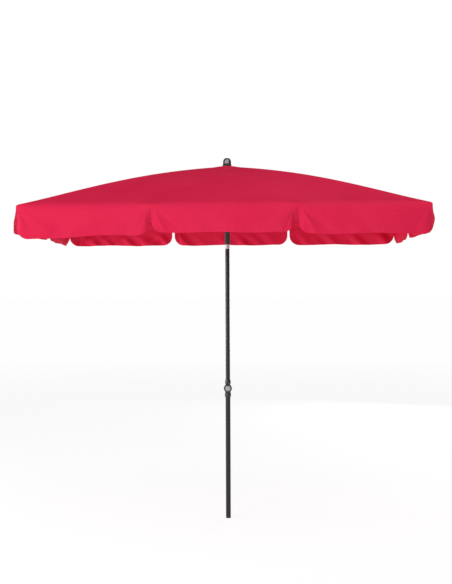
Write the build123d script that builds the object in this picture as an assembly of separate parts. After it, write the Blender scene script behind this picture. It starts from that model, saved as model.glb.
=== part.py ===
"""Rectangular tilting patio umbrella: mast, crown, ten ribs and struts, canopy and valance.

Frame: Z up, origin at the bottom centre of the mast. X runs along the long side of the
canopy and -Y is its front. The umbrella stands open and upright. Millimetres.
"""
import math
import os

from build123d import *

# ---- canopy --------------------------------------------------------------------------
CANOPY_LENGTH = 2100.0          # along X
CANOPY_WIDTH = 1400.0           # along Y
PEAK_HEIGHT = 2019.0            # cloth at the centre
CANOPY_RISE = 279.0
EDGE_HEIGHT = PEAK_HEIGHT - CANOPY_RISE
CANOPY_BOW = 34.0               # how far the ribs bow above a straight line
EDGE_DROOP = 0.8                # how much of the bow the rib's end loses
CLOTH = 1.2                     # hemmed double cloth
VALANCE_DEPTH = 147.0
FLAP_CORNER = 62.0              # radius of a flap's lower corner at a slit
FLAP_SLIT = 4.0
CENTRE_HOLE = 0.03              # share of the canopy left open under the finial
GORE_GAP = 0.6                  # half the gap between neighbouring gores
RIB_SEAM = 0.1                  # half the gap in the seam over a rib
LONG_RIB_X = 370.0              # where a middle rib meets the long edge

# ---- ribs and struts -----------------------------------------------------------------
RIB_WIDTH = 8.0
RIB_DEPTH = 11.0
RIB_WALL = 0.9
RIB_CLEAR = 5.5                 # rib top below the upper face of the cloth
RIB_END = 20.0                  # the rib stops this far inside the edge
TIP_LENGTH = 34.0
TONGUE = 5.0                    # flattened rib and strut ends
TONGUE_LENGTH = 24.0
STRUT_WIDTH = 7.0
STRUT_DEPTH = 9.0
BRACKET_DROP = 14.0             # strut pivot below the rib's centre line
BRACKET_WALL = 2.0
BRACKET_LENGTH = 30.0
RIB_PIN = 4.0
FOLDED_TIP_RADIUS = 84.0        # rib ends round the folded mast

# ---- mast ----------------------------------------------------------------------------
LOWER_TUBE = 28.0
UPPER_TUBE = 25.0
TUBE_WALL = 1.2
TUBE_NECK = 0.6                 # the lower tube is swaged this much inside its collar
PLUG_HEIGHT = 9.0
PIVOT_HEIGHT = 743.0
EYE = 46.0
TONGUE_EYE = 18.0               # thickness of the upper knuckle's eye
CHEEK = 8.0
UPPER_COLLAR = UPPER_TUBE + 8.0
LOWER_COLLAR = LOWER_TUBE + 9.5
KNUCKLE_WAIST = LOWER_TUBE + 1.5
COLLAR_HEIGHT = 24.0
LOWER_COLLAR_HEIGHT = 33.0
AXLE = 8.0
BUTTON = EYE - 16.0
BUTTON_TRAVEL = 3.5
HUB = 18.0
HUB_TOOTH = 1.4
HUB_TEETH = 12

# ---- crown, finial and runner --------------------------------------------------------
CROWN_PIVOT_HEIGHT = PEAK_HEIGHT - 24.0
CROWN_PIVOT_RADIUS = UPPER_TUBE / 2 + 15.5
CROWN = 2 * CROWN_PIVOT_RADIUS + 20.0
CROWN_HEIGHT = 20.0
FINIAL_TOP = PEAK_HEIGHT + 44.0
FINIAL = 47.0
FINIAL_DISC = 24.0
FINIAL_DISC_HEIGHT = PEAK_HEIGHT + 23.0
FINIAL_DISC_SEAT = 18.4         # the disc's pocket, from the mast's axis
RUNNER_PIVOT_HEIGHT = PEAK_HEIGHT - 324.0
RUNNER_PIVOT_RADIUS = UPPER_TUBE / 2 + 13.5
RUNNER_FLANGE = 2 * RUNNER_PIVOT_RADIUS + 16.0
RUNNER_FLANGE_HEIGHT = 22.0
RUNNER_SLEEVE = UPPER_TUBE + 5.0
RUNNER_BOTTOM = RUNNER_PIVOT_HEIGHT - 127.0
RUNNER_TRAVEL = 740.0
CATCH_BAND_WALL = 0.4
CATCH_BAND_HEIGHT = 26.0
CATCH_WIDTH = 6.0
CATCH_REACH = 4.2               # the nose beyond the band
CATCH_TRAVEL = 4.5

# ---- clearances ----------------------------------------------------------------------
PRESS = 0.02                    # pieces fixed together
RUN = 0.06                      # radial clearance of a pin or shaft that turns
SIDE = 0.4                      # side clearance of moving pieces
SLIDE = 0.4                     # radial clearance of the runner on its mast

HALF_LENGTH = CANOPY_LENGTH / 2
HALF_WIDTH = CANOPY_WIDTH / 2
SLOT = TONGUE + 2 * SIDE


def moved(shape, x=0.0, y=0.0, z=0.0):
    return Pos(x, y, z) * shape


def upright(radius, bottom, top, x=0.0, y=0.0):
    """A cylinder between two heights."""
    body = Cylinder(radius, top - bottom, align=(Align.CENTER, Align.CENTER, Align.MIN))
    return moved(body, x, y, bottom)


def across(radius, start, end, x=0.0, z=0.0):
    """A cylinder along Y between two places."""
    body = Cylinder(radius, end - start, align=(Align.CENTER, Align.CENTER, Align.MIN))
    return moved(Rot(-90, 0, 0) * body, x, start, z)


def turned(points):
    """A solid of revolution about Z from (radius, height) corners."""
    outline = Polyline([(r, 0, z) for r, z in points], close=True)
    return revolve(make_face(outline), Axis.Z)


def block(x0, x1, y0, y1, z0, z1):
    """A box between two corners."""
    size = Box(x1 - x0, y1 - y0, z1 - z0, align=(Align.MIN, Align.MIN, Align.MIN))
    return moved(size, x0, y0, z0)


# ---- the rib's curve and its folding ---------------------------------------------------
def cloth_height(share):
    """Height of the cloth at a share of the way from the centre to the edge."""
    bow = 4 * CANOPY_BOW * share * (1 - share) * (1 - EDGE_DROOP * share**3)
    return PEAK_HEIGHT - (PEAK_HEIGHT - EDGE_HEIGHT) * share + bow


def rib_height(reach, length):
    """Height of a rib's centre line at a distance from the mast's axis."""
    return cloth_height(reach / length) - RIB_CLEAR - RIB_DEPTH / 2


def turn_down(point, angle):
    """A point of a rib's plane after the rib has folded by an angle about its crown pivot."""
    dx = point[0] - CROWN_PIVOT_RADIUS
    dz = point[1] - CROWN_PIVOT_HEIGHT
    x = CROWN_PIVOT_RADIUS + dx * math.cos(angle) + dz * math.sin(angle)
    return x, CROWN_PIVOT_HEIGHT - dx * math.sin(angle) + dz * math.cos(angle)


def fold_angle(length):
    """How far a rib turns down until its end stands at FOLDED_TIP_RADIUS."""
    tip = (length - RIB_END, rib_height(length - RIB_END, length))
    low, high = 0.5, 1.5
    for _ in range(60):
        angle = (low + high) / 2
        if turn_down(tip, angle)[0] > FOLDED_TIP_RADIUS:
            low = angle
        else:
            high = angle
    return low


def strut_pivot(length):
    """Where the strut joins the rib, so that the runner's travel just folds the rib."""
    angle = fold_angle(length)

    def slack(reach):
        point = (reach, rib_height(reach, length) - BRACKET_DROP)
        folded = turn_down(point, angle)
        low_pivot = RUNNER_PIVOT_HEIGHT - RUNNER_TRAVEL
        opened = math.dist(point, (RUNNER_PIVOT_RADIUS, RUNNER_PIVOT_HEIGHT))
        return math.dist(folded, (RUNNER_PIVOT_RADIUS, low_pivot)) - opened

    low, high = 0.2 * RUNNER_TRAVEL, 1.2 * RUNNER_TRAVEL
    for _ in range(60):
        reach = (low + high) / 2
        if slack(reach) > 0:
            low = reach
        else:
            high = reach
    return reach, rib_height(reach, length) - BRACKET_DROP


def rib_tips():
    """The ten places on the canopy's edge where a rib ends, counter-clockwise from +X."""
    quarter = [(HALF_LENGTH, 0.0), (HALF_LENGTH, HALF_WIDTH), (LONG_RIB_X, HALF_WIDTH)]
    far = [(-LONG_RIB_X, HALF_WIDTH), (-HALF_LENGTH, HALF_WIDTH)]
    near = [(-x, -y) for x, y in quarter]
    return quarter + far + near + [(LONG_RIB_X, -HALF_WIDTH), (HALF_LENGTH, -HALF_WIDTH)]


# ---- pieces of one rib, built in the XZ plane and turned to its direction --------------
def upright_slab(points, width):
    """A closed outline in the XZ plane, thickened evenly to both sides."""
    return extrude(make_face(Plane.XZ * Polyline(points, close=True)), width / 2, both=True)


def curve_points(length, start, end, shift, count=14):
    """Points along a rib's centre line, moved up or down."""
    step = (end - start) / count
    spots = [start + n * step for n in range(count + 1)]
    return [(x, rib_height(x, length) + shift) for x in spots]


def curved_bar(length, start, end, up, down, width):
    """A bar that follows the rib's curve from `down` below to `up` above its centre line."""
    top = curve_points(length, start, end, up)
    low = curve_points(length, start, end, -down)
    edges = [Spline(top), Line(top[-1], low[-1]), Spline(low[::-1]), Line(low[0], top[0])]
    return extrude(make_face(Plane.XZ * Wire(edges)), width / 2, both=True)


def rib(length):
    """Steel tube with a flat inner end, strut bracket, rivets, pin and end cap."""
    start = CROWN_PIVOT_RADIUS + TONGUE_LENGTH
    end = length - RIB_END
    bar = curved_bar(length, start, end, RIB_DEPTH / 2, RIB_DEPTH / 2, RIB_WIDTH)
    eye = Pos(CROWN_PIVOT_RADIUS, 0, CROWN_PIVOT_HEIGHT)
    neck_z = rib_height(start, length)
    neck = upright_slab([
        (CROWN_PIVOT_RADIUS, CROWN_PIVOT_HEIGHT + RIB_DEPTH / 2),
        (start + 1, neck_z + RIB_DEPTH / 2 - 1),
        (start + 1, neck_z - RIB_DEPTH / 2 + 1),
        (CROWN_PIVOT_RADIUS, CROWN_PIVOT_HEIGHT - RIB_DEPTH / 2),
    ], TONGUE)
    round_end = eye * Rot(90, 0, 0) * Cylinder(RIB_DEPTH / 2, TONGUE)
    hole = eye * Rot(90, 0, 0) * Cylinder(RIB_PIN / 2 + RUN, TONGUE + 2)
    room = RIB_DEPTH / 2 - RIB_WALL
    hollow = curved_bar(length, start + 4, end + 2, room, room, RIB_WIDTH - 2 * RIB_WALL)
    bar = bar - hollow + neck + round_end - hole
    pieces = [bar]
    pieces.append(end_cap(length, end))
    pieces += strut_bracket(length)
    x = strut_pivot(length)[0]
    for side in (-1, 1):
        place = x + side * BRACKET_LENGTH / 3
        centre = Pos(place, 0, rib_height(place, length)) * Rot(90, 0, 0)
        span = RIB_WIDTH + 2 * BRACKET_WALL
        pieces[0] = pieces[0] - centre * Cylinder(1.5 + PRESS, span + 2)
        pieces.append(centre * Cylinder(1.5, span + 1.6))
        for number in (2, 3):
            pieces[number] = pieces[number] - centre * Cylinder(1.5 + PRESS, span + 2)
    return pieces


def end_cap(length, end):
    """Moulded cap over the rib's outer end, which the cloth's pocket slips over."""
    wall = 1.4
    start = end - TIP_LENGTH
    outer = curved_bar(length, start, end + 6, RIB_DEPTH / 2 + wall, RIB_DEPTH / 2 + wall,
                       RIB_WIDTH + 2 * wall)
    gap = RIB_DEPTH / 2 + PRESS
    inner = curved_bar(length, start - 2, end + PRESS, gap, gap, RIB_WIDTH + 2 * PRESS)
    return outer - inner


def strut_bracket(length):
    """Two riveted cheeks under the rib and the pin between them."""
    x, z = strut_pivot(length)
    tall = rib_height(x, length) + RIB_DEPTH / 2 - 1
    reach = BRACKET_LENGTH / 2
    outline = upright_slab([
        (x - reach, rib_height(x - reach, length) + 3),
        (x, tall),
        (x + reach, rib_height(x + reach, length) + 3),
        (x + reach, rib_height(x + reach, length) - 3),
        (x + 6, z - 6),
        (x - 6, z - 6),
        (x - reach, rib_height(x - reach, length) - 3),
    ], RIB_WIDTH + 2 * BRACKET_WALL)
    pin_place = Pos(x, 0, z) * Rot(90, 0, 0)
    gap = RIB_WIDTH + 2 * PRESS
    outline = outline - pin_place * Cylinder(RIB_PIN / 2 + PRESS, 40)
    core = block(x - 40, x + 40, -gap / 2, gap / 2, z - 60, z + 60)
    cheeks = (outline - core).solids()
    pin = pin_place * Cylinder(RIB_PIN / 2, RIB_WIDTH + 2 * BRACKET_WALL + 2)
    return [cheeks[0], cheeks[1], pin]


def strut(length):
    """Steel channel from the rib's bracket to the runner, with its inner end's short pin."""
    outer = strut_pivot(length)
    inner = (RUNNER_PIVOT_RADIUS, RUNNER_PIVOT_HEIGHT)
    span = math.dist(outer, inner)
    slope = math.degrees(math.atan2(outer[1] - inner[1], outer[0] - inner[0]))
    taper = TONGUE_LENGTH - 8
    middle = Box(span - 2 * taper, STRUT_WIDTH, STRUT_DEPTH)
    bar = Pos(span / 2, 0, 0) * middle
    for x, wide in ((0, TONGUE), (span, RIB_WIDTH - 2 * SIDE)):
        bar += Pos(x, 0, 0) * Rot(90, 0, 0) * Cylinder(STRUT_DEPTH / 2, wide)
    bar += Pos(taper / 2 + 1, 0, 0) * Box(taper + 2, TONGUE, STRUT_DEPTH)
    bar += Pos(span - taper / 2 - 1, 0, 0) * Box(taper + 2, RIB_WIDTH - 2 * SIDE, STRUT_DEPTH)
    channel = Box(span - 3 * taper, STRUT_WIDTH - 2 * RIB_WALL, STRUT_DEPTH)
    bar -= Pos(span / 2, 0, -RIB_WALL) * channel
    bar -= Pos(span, 0, 0) * Rot(90, 0, 0) * Cylinder(RIB_PIN / 2 + RUN, 40)
    bar -= Rot(90, 0, 0) * Cylinder(RIB_PIN / 2 + PRESS, 40)
    pin = Rot(90, 0, 0) * Cylinder(RIB_PIN / 2, TONGUE + SIDE)
    place = Pos(inner[0], 0, inner[1]) * Rot(0, -slope, 0)
    return [place * bar, place * pin]


# ---- canopy and valance ----------------------------------------------------------------
def roof_side(depth, run, spin):
    """One side of the canopy as a curved sheet, far wider than its share of the roof."""
    shares = [CENTRE_HOLE + n * (1 - CENTRE_HOLE) / 12 for n in range(13)]
    top = [(depth * t, cloth_height(t)) for t in shares]
    low = [(x, z - CLOTH) for x, z in top]
    edges = [Spline(top), Line(top[-1], low[-1]), Spline(low[::-1]), Line(low[0], top[0])]
    sheet = extrude(make_face(Plane.XZ * Wire(edges)), run, both=True)
    return Rot(0, 0, spin) * sheet


def wedge(first, second, trim_first, trim_second):
    """The upright prism between two rays from the mast, drawn in at each side by a gap."""
    turn = math.atan2(second[1] - first[1], second[0] - first[0])
    a = (trim_first * math.cos(turn), trim_first * math.sin(turn))
    b = (-trim_second * math.cos(turn), -trim_second * math.sin(turn))
    far = 1.1
    corners = [
        (0, 0),
        (first[0] * far + a[0], first[1] * far + a[1]),
        (second[0] * far + b[0], second[1] * far + b[1]),
    ]
    base = make_face(Polyline(corners, close=True))
    return Pos(0, 0, EDGE_HEIGHT - 50) * extrude(base, PEAK_HEIGHT - EDGE_HEIGHT + 100)


def canopy_gore(tips, number):
    """The cloth that one rib carries: half of the panel on either side, seamed at the rib."""
    here = tips[number]
    ahead = tips[(number + 1) % len(tips)]
    behind = tips[number - 1]
    halves = []
    for other, forward in ((ahead, True), (behind, False)):
        seam = ((here[0] + other[0]) / 2, (here[1] + other[1]) / 2)
        if abs(here[0] - other[0]) < 1:
            sheet = roof_side(HALF_LENGTH, HALF_WIDTH + 20, 0 if here[0] > 0 else 180)
        else:
            sheet = roof_side(HALF_WIDTH, HALF_LENGTH + 20, 90 if here[1] > 0 else -90)
        if forward:
            cut = wedge(here, seam, RIB_SEAM, GORE_GAP)
        else:
            cut = wedge(seam, here, GORE_GAP, RIB_SEAM)
        halves.append(sheet & cut)
    return halves


def half_flap(width):
    """Half a valance flap: slit edge at x = 0, round lower corner, top edge at z = 0."""
    low = -VALANCE_DEPTH
    outline = Wire([
        Line((0, 0), (width, 0)),
        Line((width, 0), (width, low)),
        Line((width, low), (FLAP_CORNER, low)),
        RadiusArc((FLAP_CORNER, low), (0, low + FLAP_CORNER), FLAP_CORNER),
        Line((0, low + FLAP_CORNER), (0, 0)),
    ])
    return extrude(make_face(Plane.XZ * outline), CLOTH, dir=(0, -1, 0))


def valance(tips, number):
    """The two half flaps that hang from one rib's end, either side of the slit."""
    here = tips[number]
    flaps = []
    for other in (tips[(number + 1) % len(tips)], tips[number - 1]):
        span = math.dist(here, other) / 2 - GORE_GAP - FLAP_SLIT / 2
        ux = (other[0] - here[0]) / math.dist(here, other)
        uy = (other[1] - here[1]) / math.dist(here, other)
        flap = half_flap(span)
        inward = ux * here[1] - uy * here[0] > 0
        flap = moved(flap, FLAP_SLIT / 2, 0 if inward else CLOTH, 0)
        spin = math.degrees(math.atan2(uy, ux))
        flaps.append(Pos(here[0], here[1], EDGE_HEIGHT - CLOTH - 0.5) * Rot(0, 0, spin) * flap)
    return flaps


# ---- mast ------------------------------------------------------------------------------
def lower_collar_base():
    return PIVOT_HEIGHT - EYE / 2 + 4 - LOWER_COLLAR_HEIGHT


def lower_tube():
    """Plain tube with a swaged neck inside the lower knuckle."""
    top = PIVOT_HEIGHT - EYE / 2 - 6
    neck = lower_collar_base() - 2
    tube = turned([
        (0, PLUG_HEIGHT), (LOWER_TUBE / 2, PLUG_HEIGHT), (LOWER_TUBE / 2, neck),
        (LOWER_TUBE / 2 - TUBE_NECK, neck + 1), (LOWER_TUBE / 2 - TUBE_NECK, top), (0, top),
    ])
    return tube - upright(LOWER_TUBE / 2 - TUBE_WALL - TUBE_NECK / 2, 0, top + 5)


def foot_plug():
    """Plastic plug with a rim under the tube and a spigot inside it."""
    spigot = LOWER_TUBE / 2 - TUBE_WALL - TUBE_NECK / 2 - PRESS
    rim = upright(LOWER_TUBE / 2, 0, PLUG_HEIGHT - PRESS)
    return rim + upright(spigot, 1, PLUG_HEIGHT + 30) - upright(spigot - 3, 6, PLUG_HEIGHT + 40)


def lower_knuckle():
    """Barrel collar on the lower tube with a fork of two round cheeks."""
    inner = LOWER_TUBE / 2 - TUBE_NECK + PRESS
    waist = KNUCKLE_WAIST / 2
    base = lower_collar_base()
    top = base + LOWER_COLLAR_HEIGHT
    belly = base + LOWER_COLLAR_HEIGHT * 0.42
    half = TONGUE_EYE / 2 + SIDE
    outer = half + CHEEK
    barrel = turned([
        (0, base), (inner + 2, base), (LOWER_COLLAR / 2 - 1, belly - 3),
        (LOWER_COLLAR / 2, belly), (LOWER_COLLAR / 2 - 1, belly + 3),
        (waist + 0.8, top), (0, top),
    ])
    seat = PIVOT_HEIGHT - EYE / 2 - 6 + PRESS
    eye = across(EYE / 2, -outer, outer, 0, PIVOT_HEIGHT)
    web = block(-waist + 2, waist - 2, -outer, outer, top - 9, PIVOT_HEIGHT)
    body = barrel + eye + web
    body -= upright(inner, base - 5, seat)
    body -= across(EYE / 2 + 0.6, -half, half, 0, PIVOT_HEIGHT)
    body -= block(-EYE, EYE, -half, half, PIVOT_HEIGHT, PIVOT_HEIGHT + EYE)
    body -= across(AXLE / 2 + PRESS, 0, outer + 5, 0, PIVOT_HEIGHT)
    body -= across(BUTTON / 2 + SIDE, -outer - 1, -outer + 4.6, 0, PIVOT_HEIGHT)
    body -= splined(HUB / 2 + SIDE, HUB_TOOTH, -outer, 0)
    return body


def splined(radius, tooth, start, end):
    """A cylinder along Y with square teeth, centred on the tilt pivot."""
    body = across(radius, start, end, 0, PIVOT_HEIGHT)
    for n in range(HUB_TEETH):
        width = radius * 0.24
        key = block(-width / 2, width / 2, start, end, 0, radius + tooth)
        body += Pos(0, 0, PIVOT_HEIGHT) * Rot(0, n * 360 / HUB_TEETH, 0) * key
    return body


def upper_knuckle():
    """Barrel collar on the upper tube with the round tongue between the cheeks."""
    inner = UPPER_TUBE / 2 + PRESS
    base = PIVOT_HEIGHT + EYE / 2 + 1
    top = base + COLLAR_HEIGHT
    belly = (base + top) / 2
    reach = UPPER_COLLAR / 2
    barrel = turned([
        (0, base), (reach - 1.6, base), (reach - 0.2, belly - 5), (reach, belly),
        (reach - 0.2, belly + 5), (reach - 1.8, top), (0, top),
    ])
    half = TONGUE_EYE / 2
    eye = across(EYE / 2 - 0.2, -half, half, 0, PIVOT_HEIGHT)
    side = UPPER_TUBE / 2 + 0.5
    neck = block(-side, side, -half, half, PIVOT_HEIGHT, base + 2)
    body = barrel + eye + neck
    body -= upright(inner, base + 7, top + 5)
    body -= across(HUB / 2 + SIDE, -half - 1, half + 1, 0, PIVOT_HEIGHT)
    room = BUTTON_TRAVEL + 1.2
    body -= across(HUB / 2 + HUB_TOOTH + 1, -half - 1, -half + room, 0, PIVOT_HEIGHT)
    return body


def tilt_axle():
    outer = TONGUE_EYE / 2 + SIDE + CHEEK
    return across(AXLE / 2, -outer + 6, outer + 3, 0, PIVOT_HEIGHT)


def axle_cap():
    """Domed nut over the axle's rear end."""
    outer = TONGUE_EYE / 2 + SIDE + CHEEK
    cap = across(AXLE / 2 + 6, outer + PRESS, outer + 4.4, 0, PIVOT_HEIGHT)
    cap = fillet(cap.edges().filter_by(GeomType.CIRCLE).sort_by(Axis.Y)[-1], 3)
    return cap - across(AXLE / 2 + PRESS, outer - 2, outer + 3 + PRESS, 0, PIVOT_HEIGHT)


def tilt_button():
    """Round push button in the front cheek."""
    outer = TONGUE_EYE / 2 + SIDE + CHEEK
    face = -outer - BUTTON_TRAVEL + 1.9
    plate = across(BUTTON / 2, face, face + 2.6, 0, PIVOT_HEIGHT)
    return fillet(plate.edges().filter_by(GeomType.CIRCLE).sort_by(Axis.Y)[0], 0.9)


def lock_hub():
    """Toothed hub behind the button, keyed in the front cheek and free in the tongue."""
    outer = TONGUE_EYE / 2 + SIDE + CHEEK
    start = -outer - BUTTON_TRAVEL + 1.9 + 2.6 + PRESS
    teeth = splined(HUB / 2, HUB_TOOTH, start, -TONGUE_EYE / 2 - SIDE)
    pilot = across(HUB / 2, start, -2, 0, PIVOT_HEIGHT)
    return teeth + pilot - across(AXLE / 2 + RUN, start - 1, 0, 0, PIVOT_HEIGHT)


def lock_spring():
    """Flat-ended coil spring round the axle, between the hub and the rear cheek."""
    start = -2 + BUTTON_TRAVEL + 0.8
    end = TONGUE_EYE / 2 + SIDE - 0.1
    rings = []
    pitch = 1.9
    count = int((end - start) / pitch)
    for n in range(count):
        place = start + 0.6 + n * pitch
        rings.append(Pos(0, place, PIVOT_HEIGHT) * Rot(90, 0, 0) * Torus(AXLE / 2 + 2.6, 0.6))
    low = AXLE / 2 + 2.2
    link = block(-0.5, 0.5, start + 0.6, start + 0.6 + (count - 1) * pitch, low, low + 0.8)
    body = rings[0] + Pos(0, 0, PIVOT_HEIGHT) * link
    for ring in rings[1:]:
        body += ring
    return body


def upper_tube():
    base = PIVOT_HEIGHT + EYE / 2 + 8 + PRESS
    top = CROWN_PIVOT_HEIGHT + CROWN_HEIGHT / 2 - 3
    tube = upright(UPPER_TUBE / 2, base, top)
    tube -= upright(UPPER_TUBE / 2 - TUBE_WALL, base - 5, top + 5)
    return tube - catch_window()


# ---- crown and finial --------------------------------------------------------------------
def radial_slots(tips, inner, outer, low, high, width):
    """One upright slot towards each rib."""
    slots = []
    for x, y in tips:
        slot = block(inner, outer, -width / 2, width / 2, low, high)
        slots.append(Rot(0, 0, math.degrees(math.atan2(y, x))) * slot)
    return slots


def crown_hub(tips):
    """Slotted hub on top of the mast: each slot holds one rib's flat end on its pin."""
    low = CROWN_PIVOT_HEIGHT - CROWN_HEIGHT / 2
    high = CROWN_PIVOT_HEIGHT + CROWN_HEIGHT / 2
    body = upright(CROWN / 2, low, high)
    body = chamfer(body.edges().filter_by(GeomType.CIRCLE), 1.5)
    body -= upright(UPPER_TUBE / 2 + PRESS, low - 5, high - 3 + PRESS)
    inner = CROWN_PIVOT_RADIUS - RIB_DEPTH / 2 - 1
    for slot in radial_slots(tips, inner, CROWN, low - 1, high + 1, SLOT):
        body -= slot
    for x, y in tips:
        spin = math.degrees(math.atan2(y, x))
        hole = Pos(CROWN_PIVOT_RADIUS, 0, CROWN_PIVOT_HEIGHT) * Rot(90, 0, 0)
        body -= Rot(0, 0, spin) * hole * Cylinder(RIB_PIN / 2 + PRESS, 11.4)
    return body - upright(4 + PRESS, low, high + 5)


def crown_pins(tips):
    pins = []
    for x, y in tips:
        spin = math.degrees(math.atan2(y, x))
        hole = Pos(CROWN_PIVOT_RADIUS, 0, CROWN_PIVOT_HEIGHT) * Rot(90, 0, 0)
        pins.append(Rot(0, 0, spin) * hole * Cylinder(RIB_PIN / 2, 11))
    return pins


def finial():
    """Moulded dome with a flared skirt that clamps the cloth on the crown."""
    base = PEAK_HEIGHT + 1.0
    r = FINIAL / 2
    rise = FINIAL_TOP - base
    neck = (r - 0.6, base + rise * 0.24)
    outline = Wire([
        Line((0, base), (r + 3.6, base)),
        Line((r + 3.6, base), (r + 3.2, base + 2.4)),
        Spline((r + 3.2, base + 2.4), (r + 0.6, base + rise * 0.13), neck),
        Spline(neck, (r - 1.2, base + rise * 0.62), (r * 0.62, base + rise * 0.93),
               (0, FINIAL_TOP), tangents=((0, 1), (-1, 0))),
        Line((0, FINIAL_TOP), (0, base)),
    ])
    dome = revolve(make_face(Plane.XZ * outline), Axis.Z)
    dome -= across(FINIAL_DISC / 2 + 0.2, -FINIAL, -FINIAL_DISC_SEAT, 0, FINIAL_DISC_HEIGHT)
    return dome - upright(4 + PRESS, base - 1, base + 22)


def finial_disc():
    """Plated disc let into the front of the dome."""
    seat = -FINIAL_DISC_SEAT - PRESS
    disc = across(FINIAL_DISC / 2, seat - 2.6, seat, 0, FINIAL_DISC_HEIGHT)
    return fillet(disc.edges().filter_by(GeomType.CIRCLE).sort_by(Axis.Y)[0], 0.8)


def finial_stud():
    """Threaded stud from the crown up into the dome."""
    bottom = CROWN_PIVOT_HEIGHT + CROWN_HEIGHT / 2 - 3 + 2 * PRESS
    return upright(4, bottom, PEAK_HEIGHT + 22)


def cloth_washer():
    """Disc on the crown that carries the middle of the cloth."""
    low = CROWN_PIVOT_HEIGHT + CROWN_HEIGHT / 2 + PRESS
    high = PEAK_HEIGHT + 1.0 - PRESS
    disc = turned([(4 + PRESS, low), (15, low), (18, high - 6), (18.5, high), (4 + PRESS, high)])
    return disc


# ---- runner and its catch ----------------------------------------------------------------
def runner_bore():
    return UPPER_TUBE / 2 + CATCH_BAND_WALL + PRESS + SLIDE


def runner(tips):
    """Sliding sleeve: slotted flange on top, plain sleeve below."""
    flange_low = RUNNER_PIVOT_HEIGHT - RUNNER_FLANGE_HEIGHT / 2
    flange_high = RUNNER_PIVOT_HEIGHT + RUNNER_FLANGE_HEIGHT / 2
    r = RUNNER_SLEEVE / 2
    flange = RUNNER_FLANGE / 2
    body = turned([
        (0, RUNNER_BOTTOM), (r, RUNNER_BOTTOM), (r + 0.6, flange_low - 22),
        (r + 3, flange_low - 6), (flange - 4, flange_low), (flange, flange_low + 3),
        (flange, flange_high - 3), (flange - 3, flange_high), (r + 2, flange_high),
        (r + 2, flange_high + 6), (0, flange_high + 6),
    ])
    body -= upright(runner_bore(), RUNNER_BOTTOM - 5, flange_high + 20)
    inner = RUNNER_PIVOT_RADIUS - STRUT_DEPTH / 2 - 1.5
    low = flange_low - 30
    slots = radial_slots(tips, inner, flange + 40, low, flange_high + 20, SLOT)
    for slot in slots:
        body -= slot
    groove = CATCH_WIDTH / 2 + SIDE
    body -= block(-groove, groove, -catch_tip() - SIDE, 0, RUNNER_BOTTOM - 5, flange_high + 20)
    return body.solids()


def catch_tip():
    """How far from the mast's axis the catch nose reaches."""
    return UPPER_TUBE / 2 + CATCH_BAND_WALL + CATCH_REACH - 2.9


def catch_window():
    """Window through the mast's front wall and band for the catch nose."""
    gap = CATCH_WIDTH / 2 + SIDE
    high = RUNNER_BOTTOM - 0.5 + SIDE
    return block(-gap, gap, -UPPER_TUBE, 0, high - 16 - 2 * SIDE, high)


def catch_band():
    """Plated open ring round the mast under the runner."""
    high = RUNNER_BOTTOM - 0.5
    inner = UPPER_TUBE / 2 + PRESS
    ring = upright(inner + CATCH_BAND_WALL, high - CATCH_BAND_HEIGHT, high)
    return ring - upright(inner, high - CATCH_BAND_HEIGHT - 1, high + 1) - catch_window()


def catch_nose():
    """Sprung nose under the runner's lower edge, with a shoe inside the mast."""
    high = RUNNER_BOTTOM - 0.5
    half = CATCH_WIDTH / 2
    shoe = UPPER_TUBE / 2 - TUBE_WALL - 0.8
    tip = catch_tip()
    side = Polyline([(-shoe + 2.5, high - 15), (-tip + 3, high - 15), (-tip, high - 9),
                     (-tip, high), (-shoe + 2.5, high)], close=True)
    nose = Plane.YZ * make_face(side)
    nose = extrude(nose, half, both=True)
    return nose + block(-half - 1.2, half + 1.2, -shoe + 0.6, -shoe + 2.6, high - 17, high + 2)


def catch_spring():
    """Leaf inside the mast that pushes the nose out."""
    high = RUNNER_BOTTOM - 0.5
    back = UPPER_TUBE / 2 - TUBE_WALL - 0.6
    leaf = block(-2.4, 2.4, back - 3.4, back - 2.8, high - 44, high + 2)
    return leaf + block(-2.4, 2.4, back - 3.4, back - 1.4, high - 50, high - 43)


def save(name, pieces):
    """Write one node's STEP file."""
    pieces = pieces if isinstance(pieces, (list, tuple)) else [pieces]
    solids = [solid for piece in pieces for solid in piece.solids()]
    shape = solids[0] if len(solids) == 1 else Compound(children=solids)
    export_step(shape, f"parts/{name}.step")


os.makedirs("parts", exist_ok=True)
TIPS = rib_tips()

save("lower_tube", lower_tube())
save("foot_plug", foot_plug())
save("lower_knuckle", lower_knuckle())
save("tilt_axle", tilt_axle())
save("axle_cap", axle_cap())
save("lock_spring", lock_spring())
save("tilt_button", tilt_button())
save("lock_hub", lock_hub())
save("upper_tube", upper_tube())
save("upper_knuckle", upper_knuckle())
save("crown_hub", crown_hub(TIPS))
save("crown_pins", crown_pins(TIPS))
save("cloth_washer", cloth_washer())
save("finial", finial())
save("finial_disc", finial_disc())
save("finial_stud", finial_stud())
save("runner", runner(TIPS))
save("catch_band", catch_band())
save("catch_nose", catch_nose())
save("catch_spring", catch_spring())

for index, (tip_x, tip_y) in enumerate(TIPS):
    reach = math.hypot(tip_x, tip_y)
    turn = Rot(0, 0, math.degrees(math.atan2(tip_y, tip_x)))
    save(f"rib_{index:02d}", [turn * piece for piece in rib(reach)])
    save(f"strut_{index:02d}", [turn * piece for piece in strut(reach)])
    save(f"canopy_{index:02d}", canopy_gore(TIPS, index))
    save(f"valance_{index:02d}", valance(TIPS, index))
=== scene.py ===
import math

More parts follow.
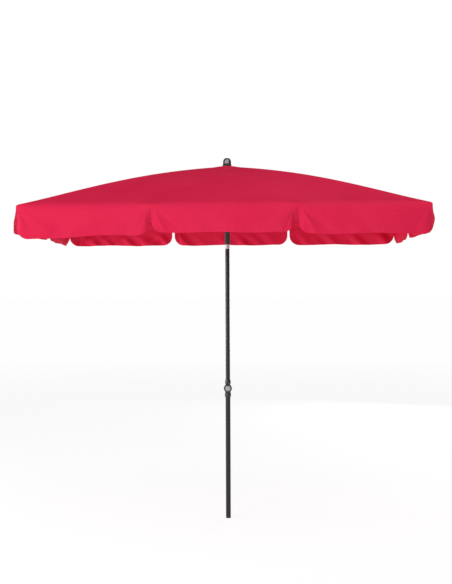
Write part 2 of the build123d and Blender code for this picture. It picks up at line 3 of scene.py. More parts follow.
import bpy
import numpy as np
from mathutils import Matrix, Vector


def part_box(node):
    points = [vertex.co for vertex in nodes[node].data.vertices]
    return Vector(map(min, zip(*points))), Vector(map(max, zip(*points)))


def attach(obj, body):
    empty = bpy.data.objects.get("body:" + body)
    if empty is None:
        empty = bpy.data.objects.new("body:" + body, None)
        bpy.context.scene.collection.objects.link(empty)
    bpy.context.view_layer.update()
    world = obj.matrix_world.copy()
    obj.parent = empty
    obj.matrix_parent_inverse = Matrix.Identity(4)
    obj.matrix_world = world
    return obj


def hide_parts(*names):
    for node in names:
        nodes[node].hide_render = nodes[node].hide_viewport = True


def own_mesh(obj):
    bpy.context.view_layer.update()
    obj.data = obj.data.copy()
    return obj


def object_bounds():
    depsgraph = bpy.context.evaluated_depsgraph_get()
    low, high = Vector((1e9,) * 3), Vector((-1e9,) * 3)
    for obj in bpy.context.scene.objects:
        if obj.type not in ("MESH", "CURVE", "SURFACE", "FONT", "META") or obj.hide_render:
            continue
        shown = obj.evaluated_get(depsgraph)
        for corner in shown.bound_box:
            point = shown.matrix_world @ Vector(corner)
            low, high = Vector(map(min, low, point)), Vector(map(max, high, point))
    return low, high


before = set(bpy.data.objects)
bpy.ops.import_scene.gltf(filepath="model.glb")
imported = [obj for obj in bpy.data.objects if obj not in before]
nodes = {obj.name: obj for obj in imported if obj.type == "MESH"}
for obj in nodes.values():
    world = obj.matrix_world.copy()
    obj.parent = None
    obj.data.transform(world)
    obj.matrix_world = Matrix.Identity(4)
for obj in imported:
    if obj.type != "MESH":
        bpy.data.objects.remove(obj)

cad_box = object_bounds()
bpy.ops.object.select_all(action="DESELECT")

# ---- Mast tubes ------------------------------------------------------------------------
# Two welded steel tubes, the upper one slimmer. They are powder coated in anthracite, a
# satin skin with a faint orange peel that keeps a soft bright line along each tube.


def linear(colour, alpha=1.0):
    """An sRGB hex value such as "2b2c2e" as linear RGBA."""
    parts = [int(colour[n:n + 2], 16) / 255 for n in (0, 2, 4)]
    toned = [c / 12.92 if c <= 0.04045 else ((c + 0.055) / 1.055) ** 2.4 for c in parts]
    return (*toned, alpha)


def add_node(tree, kind, settings=None, links=None):
    """A shader node with its settings, values and colour stops (position, hex colour), and
    links given as input: output socket."""
    node = tree.nodes.new(kind)
    for name, value in (settings or {}).items():
        if name == "stops":
            band = node.color_ramp
            while len(band.elements) < len(value):
                band.elements.new(0.5)
            for element, (place, colour) in zip(band.elements, value):
                element.position = place
                element.color = linear(colour)
        elif isinstance(name, str) and hasattr(node, name):
            setattr(node, name, value)
        else:
            node.inputs[name].default_value = value
    for name, socket in (links or {}).items():
        tree.links.new(socket, node.inputs[name])
    return node


def new_material(name):
    """A material with an empty Principled shader: (material, its tree, the shader)."""
    material = bpy.data.materials.new(name)
    material.use_nodes = True
    tree = material.node_tree
    return material, tree, tree.nodes["Principled BSDF"]


def dress(material, *names):
    """Give a material to CAD nodes."""
    for name in names:
        mesh = nodes[name].data
        mesh.materials.clear()
        mesh.materials.append(material)


# Powder coat: a cured polyester film over steel, IOR 1.5. Its orange peel is about 1.2 mm
# across and gives the bright line a soft edge; wider scuffs change its gloss a little.
peel_grain = 0.0012
scuff_patch = 0.09
powder_coat, tree, shader = new_material("anthracite_powder_coat")
place = add_node(tree, "ShaderNodeTexCoord").outputs["Object"]
peel = add_node(tree, "ShaderNodeTexNoise", {"Scale": 1 / peel_grain, "Detail": 2.0},
                {"Vector": place}).outputs["Fac"]
scuff = add_node(tree, "ShaderNodeTexNoise", {"Scale": 1 / scuff_patch, "Detail": 6.0},
                 {"Vector": place}).outputs["Fac"]
shade = add_node(tree, "ShaderNodeValToRGB",
                 {"stops": [(0.25, "141517"), (0.55, "191a1b"), (0.8, "1f2021")]},
                 {"Fac": scuff}).outputs["Color"]
gloss = add_node(tree, "ShaderNodeMapRange", {"From Min": 0.3, "From Max": 0.7,
                 "To Min": 0.26, "To Max": 0.35}, {"Value": scuff}).outputs["Result"]
skin = add_node(tree, "ShaderNodeBump", {"Strength": 0.25, "Distance": 0.00012},
                {"Height": peel}).outputs["Normal"]
tree.links.new(shade, shader.inputs["Base Color"])
tree.links.new(gloss, shader.inputs["Roughness"])
tree.links.new(skin, shader.inputs["Normal"])
shader.inputs["IOR"].default_value = 1.5
shader.inputs["Specular IOR Level"].default_value = 0.4
dress(powder_coat, "lower_tube", "upper_tube")

# ---- Ribs and struts ---------------------------------------------------------------------
# Ten steel tubes under the cloth and ten channels that push them up, in the same coating,
# slightly dustier because they are dipped in bulk and rub against the cloth.
dust_patch = 0.05
rib_coat, tree, shader = new_material("rib_powder_coat")
place = add_node(tree, "ShaderNodeTexCoord").outputs["Object"]
dust = add_node(tree, "ShaderNodeTexNoise", {"Scale": 1 / dust_patch, "Detail": 8.0},
                {"Vector": place}).outputs["Fac"]
shade = add_node(tree, "ShaderNodeValToRGB",
                 {"stops": [(0.3, "232426"), (0.6, "2e2f31"), (0.85, "3d3d3e")]},
                 {"Fac": dust}).outputs["Color"]
tree.links.new(shade, shader.inputs["Base Color"])
shader.inputs["Roughness"].default_value = 0.42
shader.inputs["IOR"].default_value = 1.5
for number in range(10):
    dress(rib_coat, f"rib_{number:02d}", f"strut_{number:02d}")

# ---- Tilt knuckle, crown, runner, plug ---------------------------------------------------
# Injection moulded glass-filled nylon, nearly black, with a fine spark-eroded grain that
# turns highlights into a broad sheen. The knuckle is polished a little more than the rest.
spark_grain = 0.0008
flow_patch = 0.02


def moulded_nylon(name, dark, light, roughness):
    """Moulded nylon, IOR 1.53, with faint flow marks and a fine grain that dulls it."""
    material, tree, shader = new_material(name)
    place = add_node(tree, "ShaderNodeTexCoord").outputs["Object"]
    grain = add_node(tree, "ShaderNodeTexNoise", {"Scale": 1 / spark_grain, "Detail": 3.0},
                     {"Vector": place}).outputs["Fac"]
    flow = add_node(tree, "ShaderNodeTexNoise", {"Scale": 1 / flow_patch, "Detail": 4.0},
                    {"Vector": place}).outputs["Fac"]
    shade = add_node(tree, "ShaderNodeValToRGB", {"stops": [(0.3, dark), (0.75, light)]},
                     {"Fac": flow}).outputs["Color"]
    skin = add_node(tree, "ShaderNodeBump", {"Strength": 0.3, "Distance": 0.00005},
                    {"Height": grain}).outputs["Normal"]
    tree.links.new(shade, shader.inputs["Base Color"])
    tree.links.new(skin, shader.inputs["Normal"])
    shader.inputs["Roughness"].default_value = roughness
    shader.inputs["IOR"].default_value = 1.53
    return material


knuckle_nylon = moulded_nylon("knuckle_nylon", "1c1d1e", "2a2b2c", 0.32)
plain_nylon = moulded_nylon("grained_nylon", "191a1b", "242526", 0.5)
dress(knuckle_nylon, "lower_knuckle", "upper_knuckle", "axle_cap", "finial")
dress(plain_nylon, "foot_plug", "cloth_washer", "crown_hub", "runner", "lock_hub")

# ---- Button, catch, pins -----------------------------------------------------------------
# The tilt button, the finial's disc and the catch are pressed and nickel plated steel; pins,
# axle, springs and stud are zinc plated. All have a brushed or drawn grain about 0.3 mm
# wide, which is drawn 1.2 mm wide so that it shows.
brush_grain = 0.0012


def plated(name, colour, roughness, stretch):
    """Plated steel: the grain runs along the small stretch and makes the gloss uneven."""
    material, tree, shader = new_material(name)
    place = add_node(tree, "ShaderNodeTexCoord").outputs["Object"]
    turned = add_node(tree, "ShaderNodeMapping", {"Scale": stretch}, {"Vector": place})
    grain = add_node(tree, "ShaderNodeTexNoise", {"Scale": 1 / brush_grain, "Detail": 4.0},
                     {"Vector": turned.outputs["Vector"]}).outputs["Fac"]
    tone = add_node(tree, "ShaderNodeValToRGB",
                    {"stops": [(0.3, colour[0]), (0.7, colour[1])]},
                    {"Fac": grain}).outputs["Color"]
    matt = add_node(tree, "ShaderNodeMapRange", {"From Min": 0.3, "From Max": 0.7,
                    "To Min": roughness - 0.06, "To Max": roughness + 0.08},
                    {"Value": grain}).outputs["Result"]
    tree.links.new(tone, shader.inputs["Base Color"])
    tree.links.new(matt, shader.inputs["Roughness"])
    shader.inputs["Metallic"].default_value = 1.0
    return material


button_plate = plated("satin_nickel", ("a8a9ab", "bcbdbf"), 0.38, (0.15, 1.0, 1.0))
zinc_plate = plated("zinc_plate", ("9c9d9e", "b2b3b3"), 0.34, (1.0, 1.0, 0.2))
catch_plate = plated("bright_nickel", ("b4babb", "ccd2d3"), 0.42, (1.0, 1.0, 0.2))
dress(button_plate, "tilt_button", "finial_disc")
dress(catch_plate, "catch_band", "catch_nose")
dress(zinc_plate, "tilt_axle", "lock_spring", "crown_pins", "finial_stud", "catch_spring")

# ---- Canopy cloth ------------------------------------------------------------------------
# Ten gores of dyed polyester, joined by felled seams over the ribs and stretched over the
# frame. The cloth sags a little between ribs and rolls over its edge into the valance.
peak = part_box("canopy_00")[1].z
half_long = cad_box[1][0]
half_short = cad_box[1][1]
flap_gap = 0.0017          # the frame's flaps start this far under the edge
edge_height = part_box("valance_00")[1].z + flap_gap
long_rib = 0.37            # where a middle rib meets the long edge
cloth_thickness = 0.0009   # with its hems and coating
bow = 0.034                # how far the ribs lift the cloth above a straight slope
droop = 0.8                # how much of the bow the edge loses
roll_at_rib = 0.014        # share of the reach
roll_between = 0.046       # metres
roll_run = 0.12            # the roll widens over this length beside a rib
sag = 0.004                # share of a gore's width
ripple = 0.0011
hole_radius = 0.0192
clamp_radius = 0.024       # the finial clamps the cloth inside this
clamp_run = 0.06
corner = 0.062             # radius of a flap's lower corners
roof_rows = 34
roll_rows = 11


def cloth_height(share):
    """Height of the cloth at a share of the way from the mast to the edge."""
    rise = 4 * bow * share * (1 - share) * (1 - droop * share ** 3)
    return peak - (peak - edge_height) * share + rise


SIDES = [
    {"out": (0, -1), "along": (1, 0), "reach": half_short,
     "tips": [-half_long, -long_rib, long_rib, half_long]},
    {"out": (1, 0), "along": (0, 1), "reach": half_long, "tips": [-half_short, 0, half_short]},
    {"out": (0, 1), "along": (-1, 0), "reach": half_short,
     "tips": [-half_long, -long_rib, long_rib, half_long]},
    {"out": (-1, 0), "along": (0, -1), "reach": half_long, "tips": [-half_short, 0, half_short]},
]
RIB_TIPS = [(half_long, 0), (half_long, half_short), (long_rib, half_short),
            (-long_rib, half_short), (-half_long, half_short), (-half_long, 0),
            (-half_long, -half_short), (-long_rib, -half_short), (long_rib, -half_short),
            (half_long, -half_short)]


def smooth(value):
    """A soft step from 0 to 1."""
    value = np.clip(value, 0, 1)
    return value * value * (3 - 2 * value)


def rib_of(side, tip):
    """Which rib ends at this place along a side."""
    x = side["out"][0] * side["reach"] + side["along"][0] * tip
    y = side["out"][1] * side["reach"] + side["along"][1] * tip
    gaps = [math.hypot(x - a, y - b) for a, b in RIB_TIPS]
    return gaps.index(min(gaps))


def to_world(side, along, out, height):
    """Place (along the side, outwards, up) in the row frame."""
    x = side["out"][0] * out + side["along"][0] * along
    y = side["out"][1] * out + side["along"][1] * along
    return np.stack([x, y, height], axis=-1)


def roll_share(side, along, flap):
    """How much of the way in from the edge the roll starts, wider between ribs."""
    gap = np.minimum(along - flap[0], flap[1] - along)
    open_up = smooth(gap / roll_run)
    return roll_at_rib + (roll_between / side["reach"] - roll_at_rib) * open_up


def roof_surface(side, flap, along, share):
    """Roof cloth at a place along the edge and a share of the way out, 1 to 2 in the roll."""
    start = 1 - roll_share(side, along, flap)
    hole = hole_radius / np.hypot(side["reach"], along)
    inner = hole + np.minimum(share, 1) * (start - hole)
    across = (along - flap[0]) / (flap[1] - flap[0])
    width = flap[1] - flap[0]
    hollow = sag * width * 4 * across * (1 - across)
    hollow = hollow * np.sin(np.pi * np.clip(inner, 0, 1)) ** 0.8
    wave = ripple * np.sin(along * 31 + side["reach"] * 9) * smooth((inner - 0.55) / 0.4)
    height = cloth_height(inner) - hollow + wave * 4 * across * (1 - across)
    from_mast = inner * np.hypot(side["reach"], along)
    gathered = 1 - smooth((from_mast - clamp_radius) / clamp_run)
    height = height + (peak + 0.0003 - height) * gathered
    out = inner * side["reach"]
    beside = inner * along
    # the roll is a curve from the roof, over the edge, to the hanging flap
    bend = np.clip(share - 1, 0, 1)
    drop = (1 - start) * side["reach"]
    edge = cloth_height(np.ones_like(start))
    a, b, c = (1 - bend) ** 2, 2 * bend * (1 - bend), bend ** 2
    out = np.where(share > 1, a * out + (b + c) * side["reach"], out)
    beside = np.where(share > 1, a * beside + (b + c) * along, beside)
    height = np.where(share > 1, a * height + b * edge + c * (edge - drop), height)
    return to_world(side, beside, out, height)


def grid_normals(surface, first, second, step=0.0005):
    """Unit normals of a surface given as a function of two grids, by small steps."""
    u = surface(first + step, second) - surface(first - step, second)
    v = surface(first, second + step * 4) - surface(first, second - step * 4)
    normal = np.cross(u, v)
    size = np.linalg.norm(normal, axis=-1, keepdims=True)
    return normal / np.maximum(size, 1e-12)


def cloth_mesh(name, patches, thickness):
    """One closed cloth piece from patches of (points, normals, uv, edge data) grids."""
    verts, faces, normals, flat, edge = [], [], [], [], []
    for points, normal, uv, hem in patches:
        rows, cols = points.shape[:2]
        base = len(verts)
        corner_out = np.cross(points[0, 1] - points[0, 0], points[1, 0] - points[0, 0])
        turned = -1 if corner_out @ normal[0, 0] < 0 else 1
        for sign in (1, -1):
            shell = points + normal * (sign * thickness / 2)
            verts += [tuple(p) for p in shell.reshape(-1, 3)]

        def spot(shell, row, col):
            return base + shell * rows * cols + row * cols + col

        for row in range(rows - 1):
            for col in range(cols - 1):
                ring = [(row, col), (row, col + 1), (row + 1, col + 1), (row + 1, col)]
                for shell in (0, 1):
                    order = (ring if shell == 0 else ring[::-1])[::turned]
                    faces.append([spot(shell, r, c) for r, c in order])
                    sign = 1 if shell == 0 else -1
                    normals += [tuple(normal[r, c] * sign) for r, c in order]
                    flat += [tuple(uv[r, c]) for r, c in order]
                    edge += [tuple(hem[r, c]) for r, c in order]
        border = [(0, c) for c in range(cols)] + [(r, cols - 1) for r in range(1, rows)]
        border += [(rows - 1, c) for c in range(cols - 2, -1, -1)]
        border += [(r, 0) for r in range(rows - 2, 0, -1)]
        for here, there in zip(border, border[1:] + border[:1]):
            quad = [spot(1, *here), spot(1, *there), spot(0, *there), spot(0, *here)][::turned]
            faces.append(quad)
            p = [np.array(verts[i]) for i in quad]
            rim = np.cross(p[1] - p[0], p[3] - p[0])
            rim = rim / max(np.linalg.norm(rim), 1e-12)
            normals += [tuple(rim)] * 4
            ends = [here, there, there, here][::turned]
            flat += [tuple(uv[r, c]) for r, c in ends]
            edge += [tuple(hem[r, c]) for r, c in ends]
    mesh = bpy.data.meshes.new(name)
    mesh.from_pydata(verts, [], faces)
    for title, data in (("cloth", flat), ("hem", edge)):
        layer = mesh.uv_layers.new(name=title)
        layer.data.foreach_set("uv", np.array(data, np.float32).ravel())
    for polygon in mesh.polygons:
        polygon.use_smooth = True
    mesh.normals_split_custom_set(normals)
    piece = bpy.data.objects.new(name, mesh)
    bpy.context.scene.collection.objects.link(piece)
    return piece


def columns(side, flap, forward):
    """Places along the edge for half a flap, from the slit to the middle, close at the slit."""
    width = (flap[1] - flap[0]) / 2
    turn = [corner * (1 - math.cos(n * math.pi / 28)) for n in range(14)]
    return np.array(turn + list(np.linspace(corner, width, 40)))


patches = {number: [] for number in range(10)}
for side in SIDES:
    for flap in zip(side["tips"], side["tips"][1:]):
        for forward, tip in ((True, flap[0]), (False, flap[1])):
            gaps = columns(side, flap, forward)
            along = tip + gaps if forward else tip - gaps
            share = np.concatenate([np.linspace(0, 1, roof_rows),
                                    1 + np.linspace(0, 1, roll_rows)[1:]])
            grid_along, grid_share = np.meshgrid(along, share)
            surface = lambda a, s: roof_surface(side, flap, a, s)
            points = surface(grid_along, grid_share)
            normal = grid_normals(surface, grid_along, grid_share)
            normal *= np.where(normal[..., 2:] < -0.2, -1, 1)
            outward = np.array([*side["out"], 0.35])
            normal *= np.where((normal @ outward) < 0, -1, 1)[..., None]
            run = np.stack([grid_along * np.clip(grid_share, 0.02, 1),
                            grid_share * side["reach"]], axis=-1)
            gap = np.abs(grid_along - tip) * np.minimum(grid_share, 1)
            hem = np.stack([gap, grid_share * side["reach"]], axis=-1)
            if not forward:
                points, normal = points[:, ::-1], normal[:, ::-1]
                run, hem = run[:, ::-1], hem[:, ::-1]
            patches[rib_of(side, tip)].append((points, normal, run, hem))

roof_pieces = [cloth_mesh(f"canopy_cloth_{number:02d}", patches[number], cloth_thickness)
               for number in range(10)]

# Dyed polyester, plain weave: threads 0.5 mm apart, drawn 1.6 mm apart so that they show.
# It is matt, a little faded in wide patches, and thicker where a hem or seam is turned in.
thread = 0.0016
fade_patch = 0.35
slub = 0.004
seam_inner, seam_outer = 0.0062, 0.0085
cloth, tree, shader = new_material("red_polyester")
flat = add_node(tree, "ShaderNodeUVMap", {"uv_map": "cloth"}).outputs["UV"]
parts = add_node(tree, "ShaderNodeSeparateXYZ", links={"Vector": flat})
warp_and_weft = []
for direction in ("X", "Y"):
    angle = add_node(tree, "ShaderNodeMath", {"operation": "MULTIPLY", 1: 2 * math.pi / thread},
                     {0: parts.outputs[direction]})
    warp_and_weft.append(add_node(tree, "ShaderNodeMath", {"operation": "SINE"},
                                  {0: angle.outputs[0]}).outputs[0])
weave = add_node(tree, "ShaderNodeMath", {"operation": "MULTIPLY"},
                 {0: warp_and_weft[0], 1: warp_and_weft[1]}).outputs[0]
place = add_node(tree, "ShaderNodeTexCoord").outputs["Object"]
fade = add_node(tree, "ShaderNodeTexNoise", {"Scale": 1 / fade_patch, "Detail": 3.0},
                {"Vector": place}).outputs["Fac"]
slubs = add_node(tree, "ShaderNodeTexNoise", {"Scale": 1 / slub, "Detail": 4.0},
                 {"Vector": place}).outputs["Fac"]
tone = add_node(tree, "ShaderNodeValToRGB", {"stops": [(0.3, "d41f46"), (0.7, "db284d")]},
                {"Fac": fade}).outputs["Color"]
pale = add_node(tree, "ShaderNodeValToRGB", {"stops": [(0.3, "c9c0c2"), (0.7, "ffffff")]},
                {"Fac": slubs}).outputs["Color"]
fleck = add_node(tree, "ShaderNodeMix", {"data_type": "RGBA", "blend_type": "MULTIPLY"})
fleck.inputs["Factor"].default_value = 0.10
tree.links.new(tone, fleck.inputs[6])
tree.links.new(pale, fleck.inputs[7])
hem_map = add_node(tree, "ShaderNodeUVMap", {"uv_map": "hem"}).outputs["UV"]
hem_parts = add_node(tree, "ShaderNodeSeparateXYZ", links={"Vector": hem_map})
seam = add_node(tree, "ShaderNodeMapRange", {"From Min": seam_inner, "From Max": seam_outer,
                "To Min": 1.0, "To Max": 0.0, "interpolation_type": "SMOOTHSTEP"},
                {"Value": hem_parts.outputs["X"]}).outputs["Result"]
height = add_node(tree, "ShaderNodeMath", {"operation": "MULTIPLY_ADD", 1: 4.0},
                  {0: seam, 2: weave})
relief = add_node(tree, "ShaderNodeBump", {"Strength": 0.3, "Distance": 0.00005},
                  {"Height": height.outputs[0]}).outputs["Normal"]
tree.links.new(fleck.outputs[2], shader.inputs["Base Color"])
tree.links.new(relief, shader.inputs["Normal"])
shader.inputs["Roughness"].default_value = 0.62
shader.inputs["IOR"].default_value = 1.5
shader.inputs["Specular IOR Level"].default_value = 0.06

for number, piece in enumerate(roof_pieces):
    piece.data.materials.append(cloth)
    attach(piece, f"rib_{number:02d}")
    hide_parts(f"canopy_{number:02d}")
    tip = Vector((*RIB_TIPS[number], 0)).normalized()
    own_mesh(piece)

# ---- Valance -----------------------------------------------------------------------------
# The cloth carries on over the edge as flaps, slit at every rib. Each has a turned and
# stitched hem and round lower corners, and folds that fan out below its slits.
flap_bottom = 0.144        # depth of a flap below the edge
bulge = 0.020              # how far the side flaps swell at the front corners
hem_wave = 0.0022
left_extra, left_dip, left_run = 0.012, 0.019, 0.24
right_extra = 0.009
pucker_height, pucker_pitch = 0.00045, 0.043
hem_width, hem_crease = 0.0185, 0.0007
tuck_gap = 0.0025          # the turn-in lies this far behind the roll
tuck_rows = 7

# The folds of the front flaps, set one by one: each end of a flap has the opening of its slit per
# side, the curl of its edge, and ridges (angle below the edge, spread, height, length).
FRONT_ENDS = {
    (0, 0): (0.002, 0.008, [(38, 0.13, 0.0075, 0.20), (62, 0.10, -0.0055, 0.15)]),
    (0, 1): (0.004, 0.018, [(66, 0.10, -0.0050, 0.11), (40, 0.12, 0.0028, 0.12)]),
    (1, 0): (0.007, 0.006, [(62, 0.10, 0.0105, 0.13), (42, 0.10, -0.0075, 0.15)]),
    (1, 1): (0.007, 0.032, [(68, 0.11, -0.0085, 0.12), (38, 0.12, 0.0070, 0.16),
                            (20, 0.09, -0.0040, 0.2)]),
    (2, 0): (0.013, 0.012, [(58, 0.09, 0.0120, 0.17), (40, 0.10, -0.0110, 0.19),
                            (24, 0.08, 0.0070, 0.22)]),
    (2, 1): (0.003, 0.012, [(30, 0.12, 0.0060, 0.18), (55, 0.10, -0.0050, 0.14)]),
}


def fan(gap, depth, ridges):
    """Soft folds that fan out from the top of a slit."""
    angle = np.degrees(np.arctan2(depth, np.maximum(gap, 1e-5)))
    reach = np.hypot(gap, depth)
    total = np.zeros_like(gap)
    for centre, spread, tall, far in ridges:
        ridge = np.exp(-((angle - centre) / math.degrees(spread)) ** 2)
        total += tall * ridge * smooth((reach - 0.010) / 0.05) * np.exp(-(reach / far) ** 2)
    return total


def flap_traits(side, flap):
    """The folds, leans and hem waves of one flap, drawn once."""
    face = SIDES.index(side)
    place = side["tips"].index(flap[0])
    draw = np.random.default_rng(100 * face + place)
    hidden = face == 2
    ends = []
    for end in (0, 1):
        ridges = []
        for n in range(3):
            centre = 26 + 20 * n + draw.uniform(-6, 6)
            tall = draw.uniform(0.0035, 0.0065) * (1 if n % 2 else -1)
            ridges.append((centre, draw.uniform(0.09, 0.14), tall, draw.uniform(0.11, 0.2)))
        random_end = (draw.uniform(0.004, 0.008), draw.uniform(0.006, 0.012), ridges)
        ends.append(FRONT_ENDS[place, end] if face == 0 else random_end)
    scale = {0: 0.0014, 1: 0.0008, 2: 0.0050, 3: 0.0008}[face]
    waves = [(draw.uniform(0.10, 0.24), draw.uniform(0, 6.28), draw.uniform(-1.1, 1.1),
              scale * draw.uniform(0.6, 1.3)) for n in range(4)]
    if hidden:
        waves += [(draw.uniform(0.075, 0.1), draw.uniform(0, 6.28), 0.8, 0.0042),
                  (draw.uniform(0.12, 0.16), draw.uniform(0, 6.28), 1.0, 0.0060)]
    return {"ends": ends, "waves": waves, "hem": draw.uniform(0, 6.28), "face": face}


def lean(side, end, share):
    """How far a side flap hangs outwards at a share of its depth, near one of its ends."""
    corner_end = abs(abs(end) - abs(side["tips"][0])) < 1e-6
    if side["reach"] != half_long:
        return (0.004 if corner_end else -0.002) * share
    if not corner_end:
        return -0.020 * share ** 1.4
    front_corner = side["along"][1] * end < 0
    if not front_corner:
        return 0.006 * share
    left = side["out"][0] < 0
    return bulge * (smooth(share / 0.3) if left else np.sin(math.pi * share ** 0.8))


def flap_surface(side, flap, traits, forward, gap, down):
    """Half a flap: gap is the distance from its slit, down goes 0 to 1 from roll to hem.
    Below 0 is a turn-in that is tucked under the roll, up towards the rib's end."""
    tip = flap[0] if forward else flap[1]
    sign = 1 if forward else -1
    along = tip + sign * gap
    top = roll_share(side, along, flap) * side["reach"]
    round_off = corner - np.sqrt(np.maximum(corner ** 2 - np.maximum(corner - gap, 0) ** 2, 0))
    bottom = flap_bottom - round_off
    bottom = bottom + hem_wave * np.sin(along * 17 + traits["hem"]) * smooth(gap / 0.12)
    if traits["face"] == 0 and flap[0] < -half_long + 0.01:
        dip = np.exp(-((along - flap[0] - 0.06) / left_run) ** 2)
        bottom = bottom + left_extra + left_dip * dip
    if traits["face"] == 0 and flap[1] > half_long - 0.01:
        bottom = bottom + right_extra
    depth = top + np.where(down < 0, down * top, down * (bottom - top))
    tuck = top * (1 - np.sqrt(np.clip(1 + down, 0, 1))) ** 2 + tuck_gap * smooth(-down / 0.25)
    share = depth / flap_bottom
    grow = smooth((depth - top) / 0.075)
    left, right = along - flap[0], flap[1] - along
    out = np.where(down < 0, -tuck, 0.0)
    for end, distance in enumerate((left, right)):
        width, curl, ridges = traits["ends"][end]
        out += fan(distance, depth, ridges) * grow
        out += lean(side, flap[end], share) * np.exp(-(distance / 0.24) ** 2) * grow
        out -= curl * np.exp(-(distance / 0.016) ** 1.5) * smooth(share / 0.3) * grow
    inner = smooth(np.minimum(left, right) / 0.05)
    for length, phase, slant, tall in traits["waves"]:
        wave = np.sin(2 * math.pi * (along + slant * depth) / length + phase)
        out += tall * wave * share * grow * inner
    pucker = np.sin(2 * math.pi * along / pucker_pitch + 2.1 * np.sin(along * 11 + traits["hem"]))
    out += pucker_height * pucker * np.exp(-((bottom - depth - 0.012) / 0.022) ** 2) * inner
    fold_line = np.exp(-((bottom - depth - hem_width) / 0.0022) ** 2)
    out -= hem_crease * fold_line * smooth(gap / 0.02)
    width = traits["ends"][0 if forward else 1][0]
    opening = width * smooth(share / 0.42) * np.exp(-gap / 0.07) + 0.0008
    sway = 0.003 * np.sin(traits["hem"] + along * 9) * share
    height = edge_height - depth
    return to_world(side, along + sign * opening + sway * smooth(gap / 0.1),
                    side["reach"] + out, height)


rolled_over = [0.0] * 10   # the roll's area at each rib, which belongs to the roof cloth
for side in SIDES:
    for flap in zip(side["tips"], side["tips"][1:]):
        traits = flap_traits(side, flap)
        for forward, tip in ((True, flap[0]), (False, flap[1])):
            gaps = columns(side, flap, forward)
            down = np.concatenate([np.linspace(-0.85, -0.05, tuck_rows),
                                   np.linspace(0, 0.84, 30),
                                   np.linspace(0.86, 1, 16)])
            grid_gap, grid_down = np.meshgrid(gaps, down)
            surface = lambda g, d: flap_surface(side, flap, traits, forward, g, d)
            points = surface(grid_gap, grid_down)
            normal = grid_normals(surface, np.maximum(grid_gap, 0.0006), grid_down)
            outward = np.array([*side["out"], 0.0])
            normal *= np.where((normal @ outward) < 0, -1, 1)[..., None]
            tall = edge_height - points[..., 2]
            widths = np.gradient(gaps)
            widths[[0, -1]] /= 2
            lower = points[-1:, :, 2]
            hem = np.stack([np.minimum(points[..., 2] - lower, grid_gap + 0.0005),
                            grid_gap], axis=-1)
            run = np.stack([tip + (grid_gap if forward else -grid_gap),
                            side["reach"] * 2 + tall], axis=-1)
            if not forward:
                points, normal = points[:, ::-1], normal[:, ::-1]
                run, hem = run[:, ::-1], hem[:, ::-1]
            number = rib_of(side, tip)
            part = "a" if forward else "b"
            piece = cloth_mesh(f"valance_flap_{number:02d}_{part}",
                               [(points, normal, run, hem)], cloth_thickness)
            piece.data.materials.append(cloth)
            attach(piece, f"flap_{number:02d}")
            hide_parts(f"valance_{number:02d}")
            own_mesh(piece)
            rolled_over[number] += float((tall[tuck_rows] * widths).sum())

for number, piece in enumerate(roof_pieces):
    spread = 0.0
    for side in SIDES:
        for flap in zip(side["tips"], side["tips"][1:]):
            for tip in flap:
                if rib_of(side, tip) == number:
                    slope = math.hypot(side["reach"], peak - edge_height)
                    spread += (flap[1] - flap[0]) / 4 * slope

# ---- Floor, light and camera -------------------------------------------------------------
# A plain white studio. One broad soft light stands at the left front and a low one fills
# under it. Weaker ones come from above, from the left edge and from behind at the right.
floor_size = 400
bpy.ops.mesh.primitive_plane_add(size=floor_size, location=(0, 0, 0))
floor = bpy.context.object
floor.name = "studio_floor"
paper, tree, shader = new_material("studio_paper")
shader.inputs["Base Color"].default_value = linear("6c6c6c")
shader.inputs["Roughness"].default_value = 0.9
shader.inputs["Emission Color"].default_value = linear("ffffff")
place = add_node(tree, "ShaderNodeTexCoord").outputs["Object"]
away = add_node(tree, "ShaderNodeVectorMath", {"operation": "LENGTH"}, {0: place})
glow = add_node(tree, "ShaderNodeMapRange", {"From Min": 3.0, "From Max": 14.0, "To Min": 0.87,
                "To Max": 0.96}, {"Value": away.outputs["Value"]}).outputs["Result"]
tree.links.new(glow, shader.inputs["Emission Strength"])
floor.data.materials.append(paper)


def soft_light(name, place, aim, size, power):
    """A white rectangular light, with its place, what it aims at, its size and its watts."""
    data = bpy.data.lights.new(name, "AREA")
    data.shape = "RECTANGLE"
    data.size, data.size_y = size
    data.energy = power
    lamp = bpy.data.objects.new(name, data)
    bpy.context.scene.collection.objects.link(lamp)
    lamp.location = place
    lamp.rotation_euler = (Vector(aim) - Vector(place)).to_track_quat("-Z", "Y").to_euler()


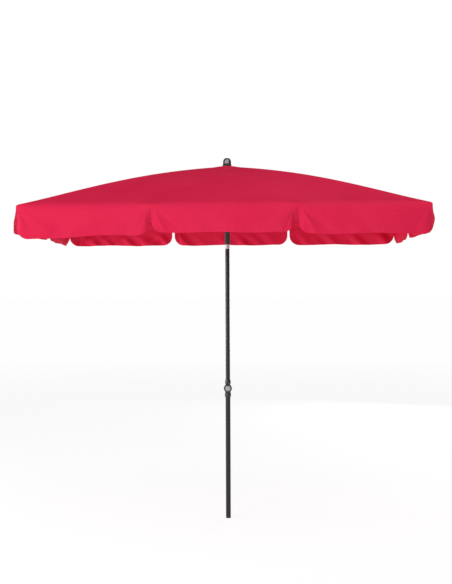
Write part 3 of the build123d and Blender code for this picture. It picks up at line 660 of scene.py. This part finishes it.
middle = Vector((0, 0, 1.5))
soft_light("key_light", (-3.4, -4.6, 3.1), middle, (2.2, 2.2), 142)
soft_light("low_light", (-3.2, -4.2, 0.9), (0, 0.5, 1.5), (1.4, 1.2), 24)
soft_light("top_light", (1.4, -1.2, 4.8), middle, (2.5, 2.5), 54)
soft_light("rim_light", (-4.4, -0.3, 1.6), (0, 0, 1.1), (0.5, 2.0), 105)
soft_light("rear_light", (2.4, 5.6, 1.5), middle, (2.5, 1.6), 70)

# The air is white to the eye, and lights the umbrella less from behind than from the front.
world = bpy.data.worlds.new("studio_air")
world.use_nodes = True
bpy.context.scene.world = world
air = world.node_tree
back = air.nodes["Background"]
seen = add_node(air, "ShaderNodeBackground", {"Color": (1, 1, 1, 1), "Strength": 1.0})
heading = add_node(air, "ShaderNodeTexCoord").outputs["Generated"]
parts = add_node(air, "ShaderNodeSeparateXYZ", links={"Vector": heading})
dim = add_node(air, "ShaderNodeMapRange", {"From Min": -0.6, "From Max": 0.7, "To Min": 0.26,
               "To Max": 0.04}, {"Value": parts.outputs["Y"]}).outputs["Result"]
back.inputs["Color"].default_value = (1, 1, 1, 1)
air.links.new(dim, back.inputs["Strength"])
path = add_node(air, "ShaderNodeLightPath")
mix = add_node(air, "ShaderNodeMixShader", links={0: path.outputs["Is Camera Ray"],
               1: back.outputs[0], 2: seen.outputs[0]})
air.links.new(mix.outputs[0], air.nodes["World Output"].inputs["Surface"])

bpy.context.scene.view_settings.view_transform = "Standard"
eye_distance = 5.68
eye_height = 1.295
turn = math.radians(1.8)
roll = math.radians(-0.22)
aim_x = -0.009
eye = Vector((eye_distance * math.sin(turn), -eye_distance * math.cos(turn), eye_height))
aim = Vector((aim_x, 0, eye_height))
camera_data = bpy.data.cameras.new("camera")
camera_data.sensor_width = 36
camera_data.lens = 61.0
camera = bpy.data.objects.new("camera", camera_data)
bpy.context.scene.collection.objects.link(camera)
camera.location = eye
camera.rotation_euler = (aim - eye).to_track_quat("-Z", "Y").to_euler()
camera.rotation_euler.rotate_axis("Z", roll)
bpy.context.scene.camera = camera
